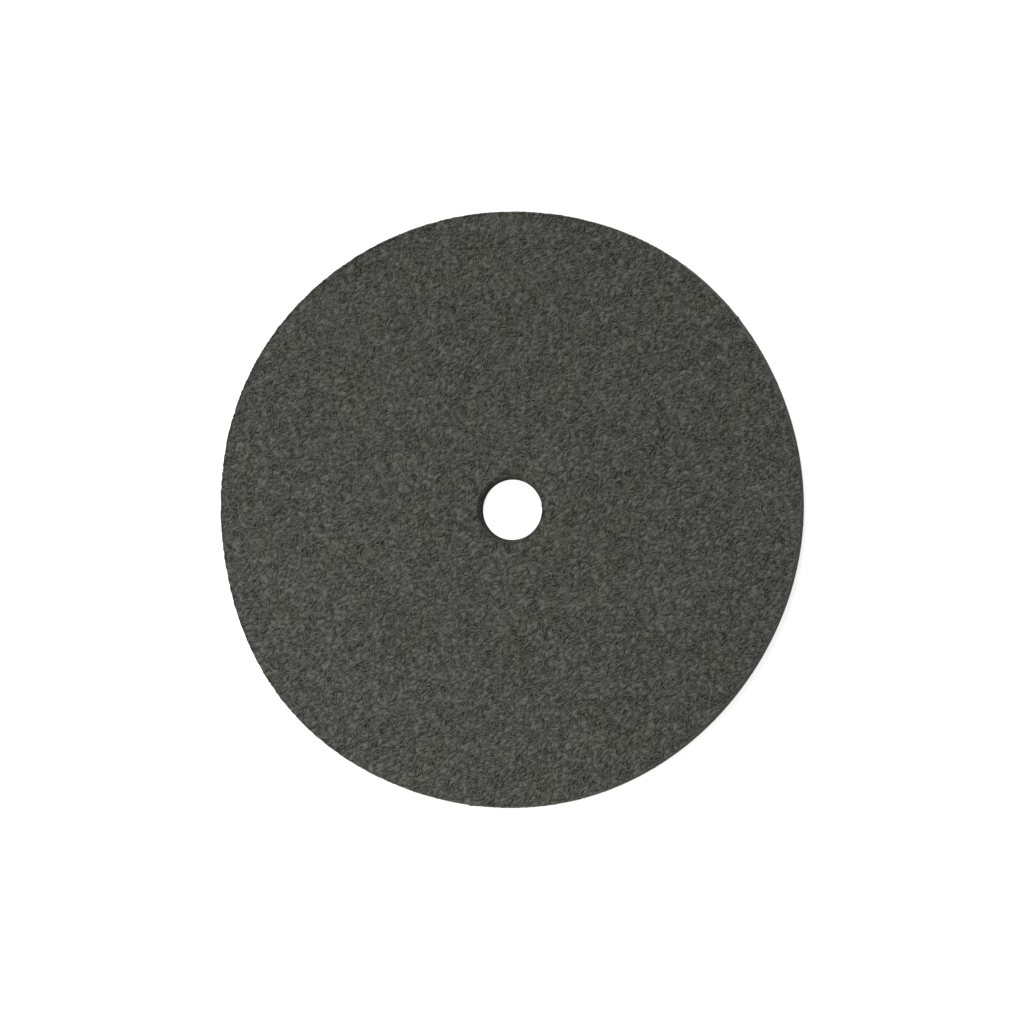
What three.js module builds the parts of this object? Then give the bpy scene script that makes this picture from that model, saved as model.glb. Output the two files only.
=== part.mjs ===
// Surface conditioning disc: a thin round pad of matted abrasive nylon web with a punched arbor hole.
// It is one piece of web all through, with no hub, backing plate or loose part.
// Millimetres, +Z up. It lies on its back face, and the origin is the centre of the hole on that face.

import * as THREE from 'three';
import { mergeVertices } from 'three/addons/utils/BufferGeometryUtils.js';

// Disc blank
const discDiameter = 127;
const webThickness = 3;
const rimEdgeRadius = 0.4;

// Arbor hole, punched from the working side: it flares from the back face and is rounded over at the front
const holeDiameter = 12.8;
const holeTaper = 0.65;
const holeEdgeRadius = 0.35;

// The rim is die-cut in soft web, so slow lobes of a fraction of a millimetre run round it.
// The one lobe per turn sets the outline that far off centre from the hole.
const rimLobes = [
  { perTurn: 1, height: 0.19, turnedBy: -137 },
  { perTurn: 3, height: 0.17, turnedBy: -56 },
  { perTurn: 4, height: 0.17, turnedBy: 164 },
  { perTurn: 5, height: 0.17, turnedBy: 3 },
  { perTurn: 6, height: 0.09, turnedBy: 103 },
  { perTurn: 7, height: 0.05, turnedBy: -32 },
];

// Facets
const roundSegments = 144;
const edgeSteps = 4;
const weldDistance = 0.001;

// Matted web, nearly black with an olive cast
const webColour = 0x4b4b46;
const webRoughness = 0.95;

const rimRadius = discDiameter / 2;
const holeRadius = holeDiameter / 2;
const holeMouthRadius = holeRadius + holeTaper + holeEdgeRadius;

// Half section through the web, walked from the foot of the rim over the front face and down the hole
function makeWebSection() {
  const rimArcCentre = new THREE.Vector2(rimRadius - rimEdgeRadius, webThickness - rimEdgeRadius);
  const holeArcCentre = new THREE.Vector2(holeMouthRadius, webThickness - holeEdgeRadius);
  const quarterTurn = Math.PI / 2;
  const section = [new THREE.Vector2(rimRadius, 0)];
  for (let step = 0; step <= edgeSteps; step += 1) {
    const angle = quarterTurn * (step / edgeSteps);
    section.push(pointOnArc(rimArcCentre, rimEdgeRadius, angle));
  }
  for (let step = 0; step <= edgeSteps; step += 1) {
    const angle = quarterTurn * (1 + step / edgeSteps);
    section.push(pointOnArc(holeArcCentre, holeEdgeRadius, angle));
  }
  section.push(new THREE.Vector2(holeRadius, 0));
  section.push(section[0].clone());
  return section;
}

function pointOnArc(centre, radius, angle) {
  return new THREE.Vector2(centre.x + radius * Math.cos(angle), centre.y + radius * Math.sin(angle));
}

// How far the die-cut rim stands out from a true circle at one angle
function rimLobeHeight(angle) {
  let height = 0;
  for (const lobe of rimLobes) {
    height += lobe.height * Math.cos(lobe.perTurn * angle + THREE.MathUtils.degToRad(lobe.turnedBy));
  }
  return height;
}

// Moves each point outwards by the rim's lobes, which fade to nothing at the hole
function cutRimLobes(geometry) {
  const position = geometry.getAttribute('position');
  for (let index = 0; index < position.count; index += 1) {
    const x = position.getX(index);
    const y = position.getY(index);
    const radius = Math.hypot(x, y);
    const nearRim = THREE.MathUtils.smoothstep(radius, holeMouthRadius, rimRadius - rimEdgeRadius);
    const growth = 1 + (nearRim * rimLobeHeight(Math.atan2(y, x))) / radius;
    position.setXY(index, x * growth, y * growth);
  }
}

function makeConditioningDisc() {
  const turned = new THREE.LatheGeometry(makeWebSection(), roundSegments);
  turned.rotateX(Math.PI / 2);
  turned.deleteAttribute('normal');
  turned.deleteAttribute('uv');
  const geometry = mergeVertices(turned, weldDistance);
  cutRimLobes(geometry);
  geometry.computeVertexNormals();
  const material = new THREE.MeshStandardMaterial({
    color: webColour,
    roughness: webRoughness,
    metalness: 0,
  });
  const disc = new THREE.Mesh(geometry, material);
  disc.name = 'conditioning_disc';
  return disc;
}

const model = new THREE.Group();
model.add(makeConditioningDisc());

export default model;
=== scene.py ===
import math

import bpy
import numpy as np
from mathutils import Matrix, Vector
from mathutils.geometry import delaunay_2d_cdt


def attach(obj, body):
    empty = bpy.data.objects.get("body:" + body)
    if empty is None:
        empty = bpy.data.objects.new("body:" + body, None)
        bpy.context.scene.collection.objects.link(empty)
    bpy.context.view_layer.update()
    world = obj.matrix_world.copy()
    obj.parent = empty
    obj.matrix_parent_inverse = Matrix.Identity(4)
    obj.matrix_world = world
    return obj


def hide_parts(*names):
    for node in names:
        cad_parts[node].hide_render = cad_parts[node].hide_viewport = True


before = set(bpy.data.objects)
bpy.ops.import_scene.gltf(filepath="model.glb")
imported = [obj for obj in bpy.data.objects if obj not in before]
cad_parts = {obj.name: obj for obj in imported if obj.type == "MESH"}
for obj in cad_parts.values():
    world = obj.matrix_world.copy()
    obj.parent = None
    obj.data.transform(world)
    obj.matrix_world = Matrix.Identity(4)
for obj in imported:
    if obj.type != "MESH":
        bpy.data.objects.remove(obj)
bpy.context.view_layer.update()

mm = 0.001
fullTurn = 2 * math.pi
discNode = "conditioning_disc"
scene = bpy.context.scene
print("frame loaded:", sorted(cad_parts))


# Outline and section of the disc, read back from its solid

onFaceWithin = 0.01 * mm
angleDigits = 5


def readDisc(nodeName):
    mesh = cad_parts[nodeName].data
    points = np.empty(len(mesh.vertices) * 3, np.float32)
    mesh.vertices.foreach_get("co", points)
    points = points.reshape(-1, 3).astype(float)
    radius = np.hypot(points[:, 0], points[:, 1])
    low, high = points[:, 2].min(), points[:, 2].max()
    onBack = points[:, 2] < low + onFaceWithin
    onFront = points[:, 2] > high - onFaceWithin
    onWall = ~onBack & ~onFront
    outer = radius > radius.max() / 2
    rim = points[onBack & outer]
    angle = np.round(np.arctan2(rim[:, 1], rim[:, 0]), angleDigits)
    rimAngle, first = np.unique(angle, return_index=True)
    return {
        "rimAngle": rimAngle,
        "rimRadius": np.hypot(rim[first, 0], rim[first, 1]),
        "thickness": high - low,
        "holeRadius": radius[onBack & ~outer].mean(),
        "mouthRadius": radius[onFront & ~outer].mean(),
        "rimEdge": high - points[onWall & outer, 2].min(),       # radius of the rounded edge
        "mouthEdge": high - points[onWall & ~outer, 2].min(),
    }


disc = readDisc(discNode)
disc["flare"] = disc["mouthRadius"] - disc["mouthEdge"] - disc["holeRadius"]
print("disc outline:", len(disc["rimAngle"]), "points, hole radius", round(disc["holeRadius"] / mm, 2), "mm,",
      "flare", round(disc["flare"] / mm, 2), "mm")


def rimAt(angle):
    return np.interp(angle, disc["rimAngle"], disc["rimRadius"], period=fullTurn)


def boreAt(height):
    flared = disc["thickness"] - disc["mouthEdge"]
    return disc["holeRadius"] + disc["flare"] * np.minimum(height / flared, 1)


def roundedDrop(distance, edge):
    reach = np.clip(edge - distance, 0, edge)
    return edge - np.sqrt(edge ** 2 - reach ** 2)


# how far the front face has rolled over at a point near the rim or the hole
def faceDrop(x, y):
    radius = np.hypot(x, y)
    toRim = rimAt(np.arctan2(y, x)) - radius
    toMouth = radius - (disc["mouthRadius"] - disc["mouthEdge"])
    return roundedDrop(toRim, disc["rimEdge"]) + roundedDrop(toMouth, disc["mouthEdge"])


# Soft noise on a lattice, 0 to 1, used for relief

noiseLattice = {
    "cells": 256,
    "centre": (97.3, 61.7),    # where the disc's centre falls on it
}


def softNoise(x, y, cell, seed):
    cells = noiseLattice["cells"]
    lattice = np.random.default_rng(seed).random((cells, cells))
    u, v = x / cell + noiseLattice["centre"][0], y / cell + noiseLattice["centre"][1]
    iu, iv = np.floor(u).astype(int), np.floor(v).astype(int)
    fu, fv = u - iu, v - iv
    fu, fv = fu * fu * (3 - 2 * fu), fv * fv * (3 - 2 * fv)
    a = lattice[iu % cells, iv % cells]
    b = lattice[(iu + 1) % cells, iv % cells]
    c = lattice[iu % cells, (iv + 1) % cells]
    d = lattice[(iu + 1) % cells, (iv + 1) % cells]
    return (a * (1 - fu) + b * fu) * (1 - fv) + (c * (1 - fu) + d * fu) * fv


webRelief = {
    "swell": 0.06 * mm,        # slow rise and fall of the pressed web
    "swellCell": 7.0 * mm,
    "swellSeed": 11,
    "lump": 0.08 * mm,         # tufts, a few strands across
    "lumpCell": 2.0 * mm,
    "lumpSeed": 12,
}


def webSink(x, y):
    slow = softNoise(x, y, webRelief["swellCell"], webRelief["swellSeed"])
    tufts = softNoise(x, y, webRelief["lumpCell"], webRelief["lumpSeed"])
    return webRelief["swell"] * slow + webRelief["lump"] * tufts


# Mesh making

def newObject(name, mesh, material):
    mesh.materials.append(material)
    piece = bpy.data.objects.new(name, mesh)
    scene.collection.objects.link(piece)
    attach(piece, "root")
    return piece


def meshFromArrays(name, points, faces):
    # faces is a list of arrays, each with one face to a row
    mesh = bpy.data.meshes.new(name)
    mesh.vertices.add(len(points))
    mesh.vertices.foreach_set("co", np.asarray(points, np.float32).ravel())
    corners = np.concatenate([np.asarray(f).ravel() for f in faces]).astype(np.int32)
    totals = np.concatenate([np.full(len(f), f.shape[1]) for f in faces]).astype(np.int32)
    starts = np.concatenate([[0], np.cumsum(totals)[:-1]]).astype(np.int32)
    mesh.loops.add(len(corners))
    mesh.polygons.add(len(totals))
    mesh.loops.foreach_set("vertex_index", corners)
    mesh.polygons.foreach_set("loop_start", starts)
    mesh.polygons.foreach_set("loop_total", totals)
    mesh.polygons.foreach_set("use_smooth", np.ones(len(totals), bool))
    mesh.update()
    return mesh


def addBakeMap(mesh, corners):
    bakeMap = mesh.uv_layers.new(name="OFBake")
    bakeMap.data.foreach_set("uv", np.concatenate(corners).astype(np.float32).ravel())


def addPointValues(mesh, name, values):
    mesh.attributes.new(name, "FLOAT", "POINT").data.foreach_set("value", values.astype(np.float32))


# Core of the web: a closed body with a sunken, uneven face that shows between the strands; its near-black
# colour is painted shade of the web's depths, and its cut walls get painted shade towards their foot

core = {
    "frontSpacing": 0.62 * mm,
    "frontSeed": 21,
    "backSpacing": 1.05 * mm,
    "backSeed": 22,
    "rimPoints": 760,
    "mouthPoints": 84,
    "frontSink": 0.34 * mm,
    "rimSink": 0.07 * mm,
    "pitDepth": 0.30 * mm,
    "pitCell": 1.15 * mm,
    "pitSteepness": 1.6,
    "pitStart": 0.6,
    "pitSeed": 23,
    "backSink": 0.14 * mm,
    "backEven": 0.6,           # share of the back's sink that is the same all over
    "backRoughSeed": 24,
    "edgeSteps": 4,
    "wallRows": 7,
    "wallRough": 0.07 * mm,
    "wallCell": 0.55 * mm,
    "wallSeed": 25,
    "rimPaintedShade": (0.9, 1.0),    # painted shade of a cut wall, darker towards its foot: the share of the light strands' colour it keeps, at its foot and at its top
    # painted shade: the hole's wall goes near black at its foot
    "borePaintedShade": (0.0, 0.8),
    "shadeCurve": 1.6,         # above 1, the painted shade stays near that of the foot for longer
}

sheet = {
    "jitter": 0.25,            # shares of the spacing
    "clearance": 0.6,
    "triangles": 2,            # kind that the filler makes: those inside the loops
    "weldWithin": 1e-5,        # in millimetres, as the sheet is filled in them
    "inPlaceWithin": 0.001 * mm,
}

coreMap = {
    "front": ((0.41, 0.41), 0.40),
    "back": ((0.82, 0.82), 0.16),
    "rimStrip": (0.84, 0.93),
    "boreStrip": (0.95, 0.99),
    "stripLeft": 0.01,
    "stripRight": 0.63,
}


def scatterPoints(spacing, seed):
    reach = disc["rimRadius"].max()
    across = np.arange(-reach, reach, spacing)
    down = np.arange(-reach, reach, spacing * math.sqrt(3) / 2)
    x, y = np.meshgrid(across, down)
    x[1::2] += spacing / 2
    rng = np.random.default_rng(seed)
    x, y = x.ravel(), y.ravel()
    x = x + rng.uniform(-sheet["jitter"], sheet["jitter"], len(x)) * spacing
    y = y + rng.uniform(-sheet["jitter"], sheet["jitter"], len(y)) * spacing
    return x, y


def loopOf(radius, count):
    angle = np.arange(count) * fullTurn / count
    if callable(radius):
        radius = radius(angle)
    return np.c_[radius * np.cos(angle), radius * np.sin(angle)]


def fillBetween(outerLoop, innerLoop, innerRadius, outerRadius, spacing, seed):
    # one flat sheet of triangles from the outer loop to the hole
    x, y = scatterPoints(spacing, seed)
    radius, angle = np.hypot(x, y), np.arctan2(y, x)
    clear = sheet["clearance"] * spacing
    keep = (radius < outerRadius(angle) - clear) & (radius > innerRadius + clear)
    flat = np.r_[outerLoop, innerLoop, np.c_[x[keep], y[keep]]]
    nOuter, nInner = len(outerLoop), len(innerLoop)
    edges = [(i, (i + 1) % nOuter) for i in range(nOuter)]
    edges += [(nOuter + i, nOuter + (i + 1) % nInner) for i in range(nInner)]
    made = delaunay_2d_cdt([Vector(p) for p in flat / mm], edges, [], sheet["triangles"], sheet["weldWithin"])
    faces = np.array(made[2])
    inHole = ((faces >= nOuter) & (faces < nOuter + nInner)).all(1)
    faces = faces[~inHole]
    places = np.array([tuple(p) for p in made[0]]) * mm
    if len(places) != len(flat) or np.abs(places - flat).max() > sheet["inPlaceWithin"]:
        raise RuntimeError("the sheet's points came back in another order")
    a, b, c = places[faces[:, 0]], places[faces[:, 1]], places[faces[:, 2]]
    turn = (b - a)[:, 0] * (c - a)[:, 1] - (b - a)[:, 1] * (c - a)[:, 0]
    faces[turn < 0] = faces[turn < 0][:, ::-1]
    return places, faces


def shareOfWall(height):
    # 0 at a wall's foot to 1 at its top, slow at first, as light reaches into the hole; it sets the painted
    # shade of a wall
    return (height / disc["thickness"]) ** core["shadeCurve"]


def wallProfile(edge):
    # how far the rounded edge has rolled over, and heights, from the top of the wall to its foot
    steps, rows = core["edgeSteps"], core["wallRows"]
    profile = []
    for step in range(1, steps):
        angle = math.pi / 2 * step / steps
        profile.append((edge * (1 - math.sin(angle)), disc["thickness"] - edge * (1 - math.cos(angle))))
    for row in range(rows):
        profile.append((0, (disc["thickness"] - edge) * (1 - row / rows)))
    return profile


def wallRings(outward, count, edge):
    # a wall's rings of points and their painted shade, darker towards the foot, from its top to its foot
    angle = np.arange(count) * fullTurn / count
    girth = rimAt(angle) if outward else disc["holeRadius"]
    footShade, topShade = core["rimPaintedShade"] if outward else core["borePaintedShade"]
    rings, shades = [], []
    for rolled, height in wallProfile(edge):
        level = np.full(count, height)
        rough = core["wallRough"] * softNoise(angle * girth, level, core["wallCell"], core["wallSeed"])
        if outward:
            radius = rimAt(angle) - core["rimSink"] - rolled - rough
        else:
            radius = boreAt(height) + rolled + rough
        sunk = core["frontSink"] * height / disc["thickness"]
        rings.append(np.c_[radius * np.cos(angle), radius * np.sin(angle), level - sunk])
        shades.append(np.full(count, footShade + (topShade - footShade) * shareOfWall(height)))
    return rings, shades


def discMap(flat, faces, centre, radius):
    # the face of the web as a round patch of the bake map
    scale = radius / disc["rimRadius"].max()
    return (np.array(centre) + flat * scale)[faces].reshape(-1, 2)


def wallMap(count, row, rows, low, high, outward):
    # one row of a wall as a strip of the bake map, unrolled to its full length
    width = coreMap["stripRight"] - coreMap["stripLeft"]
    left = coreMap["stripLeft"] + np.arange(count) / count * width
    right = left + width / count
    upper = high - (high - low) * row / rows
    lower = high - (high - low) * (row + 1) / rows
    ring = [(left, upper), (left, lower), (right, lower), (right, upper)]
    if not outward:
        ring = ring[::-1]
    return np.stack([np.c_[u, np.full(count, v)] for u, v in ring], 1).reshape(-1, 2)


def buildCore(material):
    rimEdge, mouthEdge = disc["rimEdge"], disc["mouthEdge"]

    def rimTop(angle):
        return rimAt(angle) - rimEdge - core["rimSink"]

    def rimFoot(angle):
        return rimAt(angle) - core["rimSink"]

    front, frontFaces = fillBetween(
        loopOf(rimTop, core["rimPoints"]), loopOf(disc["mouthRadius"], core["mouthPoints"]),
        disc["mouthRadius"], rimTop, core["frontSpacing"], core["frontSeed"])
    back, backFaces = fillBetween(
        loopOf(rimFoot, core["rimPoints"]), loopOf(disc["holeRadius"], core["mouthPoints"]),
        disc["holeRadius"], rimFoot, core["backSpacing"], core["backSeed"])
    backFaces = backFaces[:, ::-1]

    x, y = front[:, 0], front[:, 1]
    pits = softNoise(x, y, core["pitCell"], core["pitSeed"]) * core["pitSteepness"] - core["pitStart"]
    z = disc["thickness"] - core["frontSink"] - webSink(x, y) - core["pitDepth"] * np.clip(pits, 0, 1)
    uneven = softNoise(back[:, 0], back[:, 1], core["pitCell"], core["backRoughSeed"])
    backRough = core["backSink"] * (core["backEven"] + (1 - core["backEven"]) * uneven)
    points = [np.c_[front, z], np.c_[back, backRough]]
    nFront, nBack = len(front), len(back)
    shade = [np.ones(nFront + nBack)]
    faces = [frontFaces, backFaces + nFront]
    corners = [discMap(front, frontFaces, *coreMap["front"]), discMap(back, backFaces, *coreMap["back"])]

    # walls, from the front's loop down to the back's loop
    used = nFront + nBack
    for outward, count, first, edge, strip in (
            (True, core["rimPoints"], 0, rimEdge, coreMap["rimStrip"]),
            (False, core["mouthPoints"], core["rimPoints"], mouthEdge, coreMap["boreStrip"])):
        rings, shades = wallRings(outward, count, edge)
        points += rings
        shade += shades
        rows = [np.arange(count) + first]
        rows += [np.arange(count) + used + count * i for i in range(len(rings))]
        rows.append(np.arange(count) + first + nFront)
        used += count * len(rings)
        for row, (upper, lower) in enumerate(zip(rows[:-1], rows[1:])):
            quads = np.c_[upper, lower, np.roll(lower, -1), np.roll(upper, -1)]
            faces.append(quads if outward else quads[:, ::-1])
            corners.append(wallMap(count, row, len(rows) - 1, *strip, outward))

    mesh = meshFromArrays("web_core", np.concatenate(points), faces)
    addBakeMap(mesh, corners)
    addPointValues(mesh, "paintedWallShade", np.concatenate(shade))
    piece = newObject("web_core", mesh, material)
    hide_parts(discNode)
    return piece


# Strands: bonded nylon fibres as fine three-sided tubes

tube = {
    "section": ((0.0, 0.55), (-0.5, -0.35), (0.5, -0.35)),    # shares of a strand's width and height
    "endWidth": 0.55,
    "endHeight": 0.6,
    "leastSide": 1e-9,         # keeps a path that runs along its own normal from dividing by 0
}

strandCell = {                 # a strand in its cell of the bake map, in shares of the cell
    "edge": 0.08,
    "length": 0.76,
    "side": 0.28,
    "caps": (0.86, 0.92),      # where the start and the end of the strand go
    "capUp": 0.2,
    "capWidth": 0.05,
    "capHeight": 0.3,
}


def tubesFromPaths(name, points, outward, counts, width, height, tone, material):
    # one path after another: counts and sizes have one value to a strand, tone one to a point
    ends = np.cumsum(counts) - 1
    starts = ends - counts + 1
    first, last = np.zeros(len(points), bool), np.zeros(len(points), bool)
    first[starts], last[ends] = True, True
    ahead = np.where(last[:, None], points, np.roll(points, -1, 0))
    behind = np.where(first[:, None], points, np.roll(points, 1, 0))
    tangent = ahead - behind
    tangent /= np.linalg.norm(tangent, axis=1)[:, None]
    side = np.cross(outward, tangent)
    side /= np.maximum(np.linalg.norm(side, axis=1), tube["leastSide"])[:, None]
    lift = np.cross(tangent, side)

    across = np.repeat(width, counts) * np.where(first | last, tube["endWidth"], 1)
    through = np.repeat(height, counts) * np.where(first | last, tube["endHeight"], 1)
    rings = []
    for s, h in tube["section"]:
        rings.append(points + side * (across * s)[:, None] + lift * (through * h)[:, None])
    body = np.flatnonzero(~last)
    faces = []
    for j in range(3):
        k = (j + 1) % 3
        faces.append(np.c_[3 * body + j, 3 * body + k, 3 * (body + 1) + k, 3 * (body + 1) + j])
    faces.append(np.c_[3 * starts, 3 * starts + 2, 3 * starts + 1])
    faces.append(np.c_[3 * ends, 3 * ends + 1, 3 * ends + 2])
    mesh = meshFromArrays(name, np.stack(rings, 1).reshape(-1, 3), faces)
    addBakeMap(mesh, strandMap(counts, starts, ends, body))
    addPointValues(mesh, "strandTone", np.repeat(tone, 3))
    return newObject(name, mesh, material)


def strandMap(counts, starts, ends, body):
    # one cell of the bake map to a strand: its length runs across and its three sides up
    strand = np.repeat(np.arange(len(counts)), counts)
    cells = math.ceil(math.sqrt(len(counts)))
    column, row = strand % cells, strand // cells
    share = (np.arange(len(strand)) - starts[strand]) / (counts[strand] - 1)
    along = (column + strandCell["edge"] + strandCell["length"] * share) / cells
    here, there = along[body], along[body + 1]
    foot = row[body] + strandCell["edge"]
    corners = []
    for j in range(3):
        low, high = [(foot + strandCell["side"] * side) / cells for side in (j, j + 1)]
        corners.append(np.stack([here, low, here, high, there, high, there, low], 1).reshape(-1))
    wide, tall = strandCell["capWidth"] / cells, strandCell["capHeight"] / cells
    for end, shift in zip((starts, ends), strandCell["caps"]):
        u, v = (column[end] + shift) / cells, (row[end] + strandCell["capUp"]) / cells
        corners.append(np.stack([u, v, u + wide, v, u, v + tall], 1).reshape(-1))
    return corners


def wander(count, kit, rng):
    # flat crimped paths of equal steps, each centred on 0, 0
    steps = kit["steps"]
    step = rng.uniform(*kit["stepLength"], (count, 1))
    along = np.arange(steps) * step
    pitch = rng.uniform(*kit["crimpPitch"], (count, 1))
    phase = rng.uniform(0, fullTurn, (count, 1))
    even = rng.uniform(0, math.pi, (count, 1))
    heading = even - kit["leanShare"] / 2 * np.sin(2 * even) + kit["lean"]
    heading = heading + kit["crimp"] * np.sin(fullTurn * along / pitch + phase)
    heading = heading + rng.normal(0, kit["bend"], (count, 1)) * (np.arange(steps) / steps - 0.5)
    heading = heading + np.cumsum(rng.normal(0, kit["stray"], (count, steps)), 1)
    u = np.concatenate([np.zeros((count, 1)), np.cumsum(np.cos(heading) * step, 1)], 1)
    v = np.concatenate([np.zeros((count, 1)), np.cumsum(np.sin(heading) * step, 1)], 1)
    return u - u.mean(1, keepdims=True), v - v.mean(1, keepdims=True)


def longestRun(path, room, leastCut):
    # the longest stretch of a path that lies on the surface, cut exactly at its edge
    inside = room > 0
    if inside.all():
        return path
    marks = np.flatnonzero(np.diff(np.r_[0, inside.astype(int), 0])).reshape(-1, 2)
    start, stop = marks[np.argmax(marks[:, 1] - marks[:, 0])]
    run = list(path[start:stop])
    for inner, outer, atStart in ((start, start - 1, True), (stop - 1, stop, False)):
        if 0 <= outer < len(path):
            share = room[inner] / (room[inner] - room[outer])
            if share > leastCut:
                cut = path[inner] + share * (path[outer] - path[inner])
                run.insert(0 if atStart else len(run), cut)
    return np.array(run)


def sowPaths(kit, surface, rng):
    # the paths that lie on a surface, which of the sown ones they are, and how many were sown
    uLow, uHigh, vLow, vHigh = surface["extent"]
    spacing = math.sqrt((uHigh - uLow) * (vHigh - vLow) / kit["count"])
    u, v = np.meshgrid(np.arange(uLow, uHigh, spacing), np.arange(vLow, vHigh, spacing))
    u = u.ravel() + rng.uniform(0, spacing, u.size)
    v = v.ravel() + rng.uniform(0, spacing, v.size)
    du, dv = wander(len(u), kit, rng)
    u, v = u[:, None] + du, v[:, None] + dv
    room = surface["room"](u, v)
    runs, kept = [], []
    for i in np.flatnonzero((room > 0).sum(1) > 2):
        run = longestRun(np.c_[u[i], v[i]], room[i], kit["leastCut"])
        if len(run) > 2:
            runs.append(run)
            kept.append(i)
    return runs, kept, len(u)


def drawStrands(kit, sown, kept, rng):
    # each strand's own sizes, wave and tone
    width = kit["width"][0] + (kit["width"][1] - kit["width"][0]) * rng.random(sown) ** kit["widthSkew"]
    drawn = {
        "width": width,
        "height": width * rng.uniform(*kit["flatness"], sown),
        "tier": rng.random(sown),
        "pitch": rng.uniform(*kit["weavePitch"], sown),
        "phase": rng.uniform(0, fullTurn, sown),
        "tone": rng.laplace(kit["tone"], kit["toneSpread"], sown),
    }
    return {name: values[kept] for name, values in drawn.items()}


def layStrands(name, kit, surface, seed, material):
    # a surface has its extent, the room left before its edge, and the place of a point at a depth
    rng = np.random.default_rng(seed)
    runs, kept, sown = sowPaths(kit, surface, rng)
    own = drawStrands(kit, sown, kept, rng)

    counts = np.array([len(run) for run in runs])
    flat = np.concatenate(runs)
    strand = np.repeat(np.arange(len(runs)), counts)
    starts = np.cumsum(counts) - counts
    placeIn = np.arange(len(flat)) - starts[strand]
    toEnd = np.minimum(placeIn, counts[strand] - 1 - placeIn)
    gone = np.cumsum(np.r_[0, np.hypot(*np.diff(flat, axis=0).T)])
    phase = own["phase"][strand]
    turn = fullTurn * (gone - gone[starts][strand]) / own["pitch"][strand] + phase
    smallWave = np.sin(kit["smallWaveRate"] * turn + phase)
    rise = 0.5 + kit["largeWave"] * np.sin(turn) + kit["smallWave"] * smallWave
    # loose ends dip into the web, and those cut by the die don't
    loose = np.clip(surface["room"](flat[:, 0], flat[:, 1]) / kit["cutReach"], 0, 1)
    dip = kit["endDip"] * np.clip(1 - toEnd / kit["dipPoints"], 0, 1) * loose
    fall = kit["depth"] * own["tier"][strand] + kit["weave"] * rise + dip
    # painted shade: a strand is darker where it lies deep in the web
    tone = own["tone"][strand] + kit["paintedShadeByHeight"] * (0.5 - fall / (kit["depth"] + kit["weave"]))
    # painted shade: strands on a wall are darker towards its foot
    if kit["paintedShadeLift"]:
        tone += kit["paintedShadeLift"] * shareOfWall(flat[:, 1])
    crest = tube["section"][0][1] * own["height"][strand]
    points, outward = surface["place"](flat[:, 0], flat[:, 1], fall + crest - kit["proud"])
    tubesFromPaths(name, points, outward, counts, own["width"], own["height"], np.clip(tone, 0, 1), material)
    print(name, "laid:", len(runs), "strands")


# The four surfaces that strands lie on, each with its own flat coordinates

margin = {
    "foot": 0.24 * mm,         # about half a strand's width, above the surface the disc lies on
    "top": 0.06 * mm,
    "rim": 0.12 * mm,
    "mouth": 0.05 * mm,
    "mouthRoll": 0.5,          # share of the mouth's rounded edge that the face's strands cover
    "faceSpill": 2 * mm,       # paths are sown this far past an edge and cut there
    "wallSpill": 1 * mm,
}


def faceExtent():
    reach = disc["rimRadius"].max() + margin["faceSpill"]
    return (-reach, reach, -reach, reach)


def wallExtent(girth):
    return (0, fullTurn * girth, -margin["wallSpill"], disc["thickness"] + margin["wallSpill"])


def wallRoom(u, v):
    return np.minimum(v - margin["foot"], disc["thickness"] - margin["top"] - v)


def onFrontFace():
    def room(x, y):
        radius, angle = np.hypot(x, y), np.arctan2(y, x)
        toMouth = radius - disc["mouthRadius"] + margin["mouthRoll"] * disc["mouthEdge"]
        return np.minimum(rimAt(angle) - radius - margin["rim"], toMouth - margin["mouth"])

    def place(x, y, fall):
        z = disc["thickness"] - faceDrop(x, y) - webSink(x, y) - fall
        return np.c_[x, y, z], np.tile([0.0, 0.0, 1.0], (len(x), 1))

    return {"extent": faceExtent(), "room": room, "place": place}


def onBackFace():
    def room(x, y):
        radius, angle = np.hypot(x, y), np.arctan2(y, x)
        return np.minimum(rimAt(angle) - radius, radius - disc["holeRadius"]) - margin["rim"]

    def place(x, y, fall):
        return np.c_[x, y, fall], np.tile([0.0, 0.0, -1.0], (len(x), 1))

    return {"extent": faceExtent(), "room": room, "place": place}


def onRim():
    girth = disc["rimRadius"].mean()

    def place(u, v, fall):
        angle = u / girth
        radius = rimAt(angle) - roundedDrop(disc["thickness"] - v, disc["rimEdge"]) - fall
        outward = np.c_[np.cos(angle), np.sin(angle), np.zeros(len(u))]
        return np.c_[radius[:, None] * outward[:, :2], v], outward

    return {"extent": wallExtent(girth), "room": wallRoom, "place": place}


def onBore():
    girth = disc["holeRadius"]

    def place(u, v, fall):
        angle = u / girth
        radius = boreAt(v) + roundedDrop(disc["thickness"] - v, disc["mouthEdge"]) + fall
        outward = np.c_[-np.cos(angle), -np.sin(angle), np.zeros(len(u))]
        return np.c_[-radius[:, None] * outward[:, :2], v], outward

    return {"extent": wallExtent(girth), "room": wallRoom, "place": place}


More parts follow.
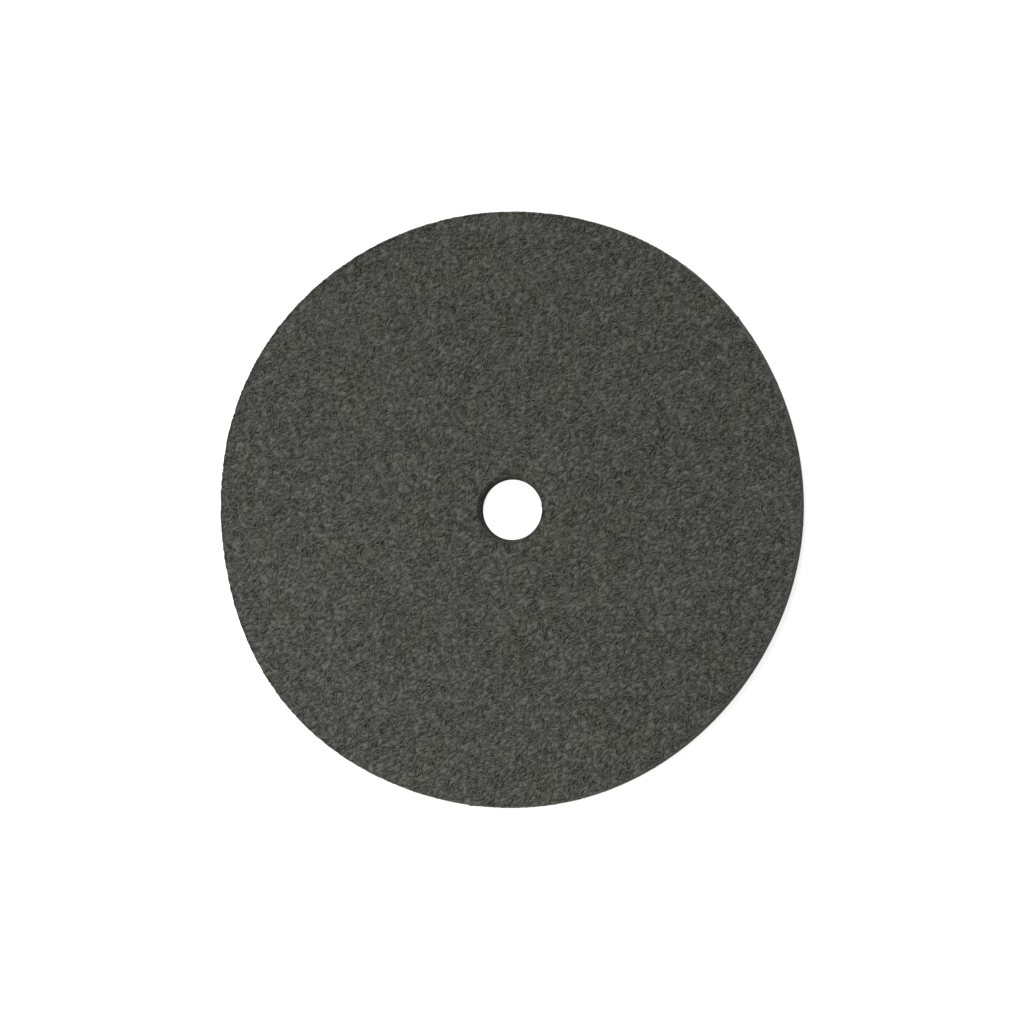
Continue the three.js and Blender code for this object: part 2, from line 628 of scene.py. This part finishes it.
faceStrands = {
    "pieces": 4,
    "seed": 40,                          # of the first piece, and one more for each of the others
    "count": 4700,                       # strands to a piece, over the square round the disc
    "steps": 8,
    "stepLength": (0.45 * mm, 0.80 * mm),
    "leastCut": 0.15,                    # shorter ends than this share of a step are left off
    "width": (0.24 * mm, 0.53 * mm),
    "widthSkew": 1.2,
    "flatness": (0.30, 0.50),            # height as a share of width
    "crimpPitch": (2.4 * mm, 5.5 * mm),
    "crimp": 0.60,
    "bend": 0.8,
    "stray": 0.20,
    "lean": math.radians(24),            # more strands lie this way than across it
    "leanShare": 0.90,                   # 0 for no preference, 1 for the most
    "depth": 0.12 * mm,
    "weave": 0.46 * mm,                  # rise and fall over their neighbours
    "weavePitch": (2.0 * mm, 4.4 * mm),
    "largeWave": 0.35,
    "smallWave": 0.15,
    "smallWaveRate": 2.3,
    "endDip": 0.16 * mm,
    "dipPoints": 2,
    "cutReach": 0.8 * mm,
    "proud": 0.03 * mm,
    "tone": 0.46,
    "toneSpread": 0.05,
    "paintedShadeByHeight": 0.36,                # painted shade: strands that lie low among the others are darker, and high ones lighter
    "paintedShadeLift": 0.0,                   # painted shade lifting towards a wall's top, for strands on a wall only
}

rimStrands = dict(
    faceStrands,
    seed=51,
    count=2400,
    steps=6,
    crimp=0.5,
    lean=0.0,
    depth=0.03 * mm,
    weave=0.13 * mm,
    endDip=0.05 * mm,
    proud=0.05 * mm,
    # painted light: the rim's strands are lighter so that the cut wall, left in shade by the lamps, looks as
    # bright as the face
    tone=0.86,
    toneSpread=0.14,
    paintedShadeByHeight=0.70,
)

boreStrands = dict(
    rimStrands,
    seed=52,
    count=330,
    stepLength=(0.40 * mm, 0.65 * mm),
    proud=0.04 * mm,
    # painted shade: the hole's strands start near black
    tone=-0.06,
    toneSpread=0.10,
    paintedShadeLift=0.60,                     # painted shade: the hole's wall is darker towards its foot
)

backStrands = dict(
    faceStrands,
    seed=53,
    count=2700,
    stepLength=(0.8 * mm, 1.3 * mm),
    width=(0.3 * mm, 0.6 * mm),
    depth=0.05 * mm,
    weave=0.22 * mm,
    weavePitch=(2.5 * mm, 5.0 * mm),
    proud=-0.02 * mm,
)


def buildStrands(material):
    for layer in range(faceStrands["pieces"]):
        name, seed = f"face_strands_{layer + 1}", faceStrands["seed"] + layer
        layStrands(name, faceStrands, onFrontFace(), seed, material)
    for name, kit, surface in (
            ("rim_strands", rimStrands, onRim()),
            ("bore_strands", boreStrands, onBore()),
            ("back_strands", backStrands, onBackFace())):
        layStrands(name, kit, surface, kit["seed"], material)


# Shader node groups

noiseMiddle = (0.3, 0.7)       # nearly all of a noise lies between these


def newGroup(name, inputs, outputs):
    tree = bpy.data.node_groups.new(name, "ShaderNodeTree")
    for socketName, kind in inputs:
        tree.interface.new_socket(name=socketName, in_out="INPUT", socket_type=kind)
    for socketName, kind in outputs:
        tree.interface.new_socket(name=socketName, in_out="OUTPUT", socket_type=kind)
    return tree, tree.nodes.new("NodeGroupInput"), tree.nodes.new("NodeGroupOutput")


def setInput(tree, socket, value):
    if isinstance(value, bpy.types.NodeSocket):
        tree.links.new(value, socket)
    else:
        socket.default_value = value


def addNode(tree, kind, values=None, **settings):
    node = tree.nodes.new(kind)
    for key, value in settings.items():
        setattr(node, key, value)
    for key, value in (values or {}).items():
        setInput(tree, node.inputs[key], value)
    return node


def maths(tree, operation, a, b=None, clamp=False):
    values = {0: a} if b is None else {0: a, 1: b}
    return addNode(tree, "ShaderNodeMath", values, operation=operation, use_clamp=clamp).outputs[0]


def vectorMaths(tree, operation, a, b=(0, 0, 0)):
    return addNode(tree, "ShaderNodeVectorMath", {0: a, 1: b}, operation=operation).outputs[0]


def noise(tree, place, scale, detail, **settings):
    values = {"Vector": place, "Scale": scale, "Detail": detail}
    return addNode(tree, "ShaderNodeTexNoise", values, **settings).outputs


def turned(tree, place, angle):
    values = {"Vector": place, "Angle": angle}
    return addNode(tree, "ShaderNodeVectorRotate", values, rotation_type="Z_AXIS").outputs[0]


tangle = {
    "directions": 6,
    "strandLength": 2.2 * mm,
    "strandWidth": 0.24 * mm,
    "warpCell": 1.8 * mm,
    "warpReach": 0.8 * mm,
    "detail": 1.0,
    "sharpness": 5.0,
    "apart": (0.013, 0.007, 0.003),      # from one direction's noise to the next one's
}


def makeTangleGroup():
    tree, given, out = newGroup(
        "tangledStrands",
        [("Place", "NodeSocketVector")],
        [("Strands", "NodeSocketFloat")])
    place = given.outputs["Place"]
    warp = noise(tree, place, 1 / tangle["warpCell"], tangle["detail"])["Color"]
    centred = vectorMaths(tree, "SUBTRACT", warp, (0.5, 0.5, 0.5))
    shift = vectorMaths(tree, "MULTIPLY", centred, (2 * tangle["warpReach"],) * 3)
    place = vectorMaths(tree, "ADD", place, shift)
    across = 1 / tangle["strandWidth"] / 2
    stretch = (1 / tangle["strandLength"], across, across)
    top = None
    for i in range(tangle["directions"]):
        angle = -faceStrands["lean"] + i * math.pi / tangle["directions"]
        apart = tuple(i * step for step in tangle["apart"])
        moved = vectorMaths(tree, "ADD", turned(tree, place, angle), apart)
        stretched = vectorMaths(tree, "MULTIPLY", moved, stretch)
        threads = noise(tree, stretched, 1.0, tangle["detail"])["Fac"]
        off = maths(tree, "ABSOLUTE", maths(tree, "SUBTRACT", threads, 0.5))
        line = maths(tree, "SUBTRACT", 1.0, maths(tree, "MULTIPLY", off, tangle["sharpness"] * 2), clamp=True)
        top = line if top is None else maths(tree, "MAXIMUM", top, line)
    tree.links.new(top, out.inputs["Strands"])
    return tree


grain = {
    "fineCell": 0.10 * mm,
    "fineDetail": 2.0,
    "speckCell": 0.28 * mm,
    "speckFade": 2.2,                    # how fast a speck fades from its middle
    "clumpLength": 1.05 * mm,
    "clumpWidth": 0.58 * mm,
}


def unfolded(tree, place):
    # flat coordinates over the faces, with the walls folded out from them
    height = addNode(tree, "ShaderNodeSeparateXYZ", {0: place}).outputs[2]
    flat = vectorMaths(tree, "MULTIPLY", place, (1, 1, 0))
    outward = vectorMaths(tree, "NORMALIZE", flat)
    return vectorMaths(tree, "SUBTRACT", flat, vectorMaths(tree, "MULTIPLY", outward, height))


def makeGrainGroup():
    tree, given, out = newGroup(
        "abrasiveGrain",
        [("Place", "NodeSocketVector")],
        [("Grain", "NodeSocketFloat"), ("Specks", "NodeSocketFloat"), ("Clumps", "NodeSocketFloat")])
    place = given.outputs["Place"]
    fine = noise(tree, place, 1 / grain["fineCell"], grain["fineDetail"])["Fac"]
    specks = addNode(tree, "ShaderNodeTexVoronoi", {"Vector": place, "Scale": 1 / grain["speckCell"]})
    away = maths(tree, "MULTIPLY", specks.outputs["Distance"], grain["speckFade"])
    along = turned(tree, unfolded(tree, place), -faceStrands["lean"])
    cells = vectorMaths(tree, "MULTIPLY", along, (1 / grain["clumpLength"], 1 / grain["clumpWidth"], 0))
    clumps = noise(tree, cells, 1.0, 0.0, noise_dimensions="2D")["Fac"]
    tree.links.new(fine, out.inputs["Grain"])
    tree.links.new(maths(tree, "SUBTRACT", 1.0, away, clamp=True), out.inputs["Specks"])
    tree.links.new(clumps, out.inputs["Clumps"])
    return tree


mottle = {
    "patchCell": 8 * mm,
    "patchDetail": 3.0,
    "tuftCell": 6 * mm,
    "tuftDetail": 2.0,
}


def makeMottleGroup():
    tree, given, out = newGroup(
        "webMottle",
        [("Place", "NodeSocketVector")],
        [("Olive", "NodeSocketFloat"), ("Tufts", "NodeSocketFloat")])
    place = given.outputs["Place"]
    patch = noise(tree, place, 1 / mottle["patchCell"], mottle["patchDetail"])["Fac"]
    tufts = noise(tree, place, 1 / mottle["tuftCell"], mottle["tuftDetail"])["Fac"]
    tree.links.new(patch, out.inputs["Olive"])
    tree.links.new(tufts, out.inputs["Tufts"])
    return tree


# Materials

webColours = {
    "strandLight": (0.163, 0.166, 0.1465, 1),
    "strandDark": (0.040, 0.041, 0.035, 1),
    # painted shade: the near-black of the web's depths, seen between the strands
    "paintedDeepShade": (0.023, 0.0235, 0.0205, 1),
    "oliveCast": (0.985, 1.0, 0.90, 1),
    "greyCast": (1.0, 1.0, 0.995, 1),
}

webFinish = {
    "olive": (0.52, 0.68),               # of the patch noise, from no olive cast to all of it
    "tufts": (0.98, 1.02),               # brightness of the slow tufts
    "specular": 0.16,
}

strandLook = {
    "clumps": (0.2, 0.8),                # of the clump noise, from dark to light
    "clumpTone": (-0.29, 0.29),
    "grainTone": (-0.03, 0.03),
    "roughness": (0.92, 0.70),           # between the specks of grain, and on them
    "bump": 0.01 * mm,
}

coreLook = {
    "clumpTone": (-0.4, 0.4),
    "roughness": (0.98, 0.84),
    "grainHeight": 0.25,
    "bump": 0.14 * mm,
}


def newMaterial(name):
    material = bpy.data.materials.new(name)
    material.use_nodes = True
    tree = material.node_tree
    tree.nodes.clear()
    return material, tree, tree.nodes.new("ShaderNodeOutputMaterial")


def newWebMaterial(name):
    material, tree, output = newMaterial(name)
    shader = tree.nodes.new("ShaderNodeBsdfPrincipled")
    tree.links.new(shader.outputs[0], output.inputs["Surface"])
    return material, tree, shader


def useGroup(tree, group, place):
    node = tree.nodes.new("ShaderNodeGroup")
    node.node_tree = group
    tree.links.new(place, node.inputs["Place"])
    return node.outputs


def mixColours(tree, blend, factor, a, b):
    values = {0: factor, 6: a, 7: b}     # sockets 6 and 7 are its two colours
    return addNode(tree, "ShaderNodeMix", values, data_type="RGBA", blend_type=blend).outputs[2]


def rangeOf(tree, value, given, wanted):
    values = {"Value": value, "From Min": given[0], "From Max": given[1]}
    values |= {"To Min": wanted[0], "To Max": wanted[1]}
    return addNode(tree, "ShaderNodeMapRange", values).outputs[0]


def finishWeb(tree, shader, colour, place, groups, roughness, height, distance):
    mottled = useGroup(tree, groups["mottle"], place)
    olive = rangeOf(tree, mottled["Olive"], webFinish["olive"], (0, 1))
    cast = mixColours(tree, "MIX", olive, webColours["greyCast"], webColours["oliveCast"])
    colour = mixColours(tree, "MULTIPLY", 1.0, colour, cast)
    tufts = rangeOf(tree, mottled["Tufts"], noiseMiddle, webFinish["tufts"])
    toned = addNode(tree, "ShaderNodeHueSaturation", {"Color": colour, "Value": tufts}).outputs[0]
    tree.links.new(toned, shader.inputs["Base Color"])
    tree.links.new(roughness, shader.inputs["Roughness"])
    bump = addNode(tree, "ShaderNodeBump", {"Height": height, "Strength": 1.0, "Distance": distance})
    tree.links.new(bump.outputs[0], shader.inputs["Normal"])
    shader.inputs["Specular IOR Level"].default_value = webFinish["specular"]


def makeStrandMaterial(groups):
    material, tree, shader = newWebMaterial("bondedStrand")
    place = tree.nodes.new("ShaderNodeTexCoord").outputs["Object"]
    tone = addNode(tree, "ShaderNodeAttribute", attribute_name="strandTone").outputs["Fac"]
    grained = useGroup(tree, groups["grain"], place)
    clumps = rangeOf(tree, grained["Clumps"], strandLook["clumps"], strandLook["clumpTone"])
    fine = rangeOf(tree, grained["Grain"], noiseMiddle, strandLook["grainTone"])
    speckled = maths(tree, "ADD", maths(tree, "ADD", tone, clumps), fine, clamp=True)
    colour = mixColours(tree, "MIX", speckled, webColours["strandDark"], webColours["strandLight"])
    roughness = rangeOf(tree, grained["Specks"], (0, 1), strandLook["roughness"])
    finishWeb(tree, shader, colour, place, groups, roughness, grained["Grain"], strandLook["bump"])
    return material


def makeCoreMaterial(groups):
    material, tree, shader = newWebMaterial("mattedWebCore")
    place = tree.nodes.new("ShaderNodeTexCoord").outputs["Object"]
    strands = useGroup(tree, groups["tangle"], place)["Strands"]
    grained = useGroup(tree, groups["grain"], place)
    clumps = rangeOf(tree, grained["Clumps"], noiseMiddle, coreLook["clumpTone"])
    clumped = maths(tree, "ADD", strands, clumps, clamp=True)
    shade = addNode(tree, "ShaderNodeAttribute", attribute_name="paintedWallShade").outputs["Fac"]
    # painted shade: the cut walls' colour darkens towards their foot
    paintedShadeTone = maths(tree, "MULTIPLY", clumped, shade)
    colour = mixColours(tree, "MIX", paintedShadeTone, webColours["paintedDeepShade"], webColours["strandLight"])
    roughness = rangeOf(tree, grained["Grain"], noiseMiddle, coreLook["roughness"])
    height = maths(tree, "ADD", strands, maths(tree, "MULTIPLY", grained["Grain"], coreLook["grainHeight"]))
    finishWeb(tree, shader, colour, place, groups, roughness, height, coreLook["bump"])
    return material


shaderGroups = {"tangle": makeTangleGroup(), "grain": makeGrainGroup(), "mottle": makeMottleGroup()}
strandMaterial = makeStrandMaterial(shaderGroups)
coreMaterial = makeCoreMaterial(shaderGroups)
print("materials made")

buildCore(coreMaterial)
print("web core made")
buildStrands(strandMaterial)


# Floor

floor = {
    "halfSide": 3.0,
    "below": 0.02 * mm,        # just under the lowest strand
    "colour": (0.80, 0.80, 0.80, 1),
    "seenGlow": 0.70,          # lifts the floor to white for the camera and leaves it the disc's shadow
}


def whiteWhereSeen(tree, strength):
    path = tree.nodes.new("ShaderNodeLightPath")
    seen = maths(tree, "MAXIMUM", path.outputs["Is Camera Ray"], path.outputs["Is Glossy Ray"])
    seen = maths(tree, "MAXIMUM", seen, path.outputs["Is Transmission Ray"])
    return maths(tree, "MULTIPLY", seen, strength)


def makeFloor():
    half = floor["halfSide"]
    corners = np.array([(-half, -half, 0), (half, -half, 0), (half, half, 0), (-half, half, 0)], float)
    corners[:, 2] = -floor["below"]
    mesh = meshFromArrays("floor", corners, [np.array([[0, 1, 2, 3]])])
    material, tree, output = newMaterial("paleFloor")
    matte = addNode(tree, "ShaderNodeBsdfDiffuse", {"Color": floor["colour"]})
    glow = addNode(tree, "ShaderNodeEmission", {"Strength": whiteWhereSeen(tree, floor["seenGlow"])})
    both = addNode(tree, "ShaderNodeAddShader", {0: matte.outputs[0], 1: glow.outputs[0]})
    tree.links.new(both.outputs[0], output.inputs["Surface"])
    mesh.materials.append(material)
    piece = bpy.data.objects.new("floor", mesh)
    scene.collection.objects.link(piece)


# Light: an even pale surround, a broad soft box far off beyond the top left of the picture,
# and a strip close to the disc at the lower left

lights = {
    "surround": 0.38,
    "surroundColour": (1, 1, 1, 1),
    "softBox": {"place": (-1.08, 3.08, 3.60), "sides": (2.20, 2.20), "power": 106.0},
    "nearStrip": {"place": (-0.136, -0.112, 0.16), "sides": (0.20, 0.05), "power": 0.172},
}


def makeLights():
    world = bpy.data.worlds.new("paleSurround")
    scene.world = world
    world.use_nodes = True
    tree = world.node_tree
    background = tree.nodes["Background"]
    background.inputs["Color"].default_value = lights["surroundColour"]
    lift = whiteWhereSeen(tree, 1.0 - lights["surround"])
    tree.links.new(maths(tree, "ADD", lift, lights["surround"]), background.inputs["Strength"])
    for name in ("softBox", "nearStrip"):
        kit = lights[name]
        data = bpy.data.lights.new(name, "AREA")
        data.shape = "RECTANGLE"
        data.size, data.size_y = kit["sides"]
        data.energy = kit["power"]
        lamp = bpy.data.objects.new(name, data)
        lamp.location = kit["place"]
        lamp.rotation_euler = (-Vector(kit["place"])).to_track_quat("-Z", "Y").to_euler()
        lamp.visible_camera = False
        scene.collection.objects.link(lamp)


# Camera: a long lens, tipped a little off the disc's axis towards the lower right of the picture

camera = {
    "tilt": math.radians(13.6),
    "towards": math.radians(-14.0),
    "lens": 1500.0,
    "sensor": 36.0,
    "clip": (0.1, 20.0),
    "pixels": 1024,
    "pixelSize": 0.21215 * mm,       # on the disc, across the line of sight
    "holeAt": (511.0, 509.45),       # where the middle of the hole lies in the picture
}


def makeCamera():
    tilt, towards = camera["tilt"], camera["towards"]
    back = Vector((math.sin(tilt) * math.cos(towards), math.sin(tilt) * math.sin(towards), math.cos(tilt)))
    up = (Vector((0, 1, 0)) - back * back.y).normalized()
    right = up.cross(back)
    width = camera["pixels"] * camera["pixelSize"]
    distance = width * camera["lens"] / camera["sensor"]
    middle = Vector((0, 0, disc["thickness"] / 2))
    aside = (camera["pixels"] / 2 - camera["holeAt"][0]) * camera["pixelSize"]
    below = (camera["pixels"] / 2 - camera["holeAt"][1]) * camera["pixelSize"]
    aim = middle + right * aside - up * below
    data = bpy.data.cameras.new("camera")
    data.lens = camera["lens"]
    data.sensor_width = camera["sensor"]
    data.clip_start, data.clip_end = camera["clip"]
    eye = bpy.data.objects.new("camera", data)
    turn = Matrix((right, up, back)).transposed().to_4x4()
    eye.matrix_world = Matrix.Translation(aim + back * distance) @ turn
    scene.collection.objects.link(eye)
    scene.camera = eye


makeFloor()
makeLights()
makeCamera()
scene.view_settings.view_transform = "Standard"
print("floor, light and camera set")
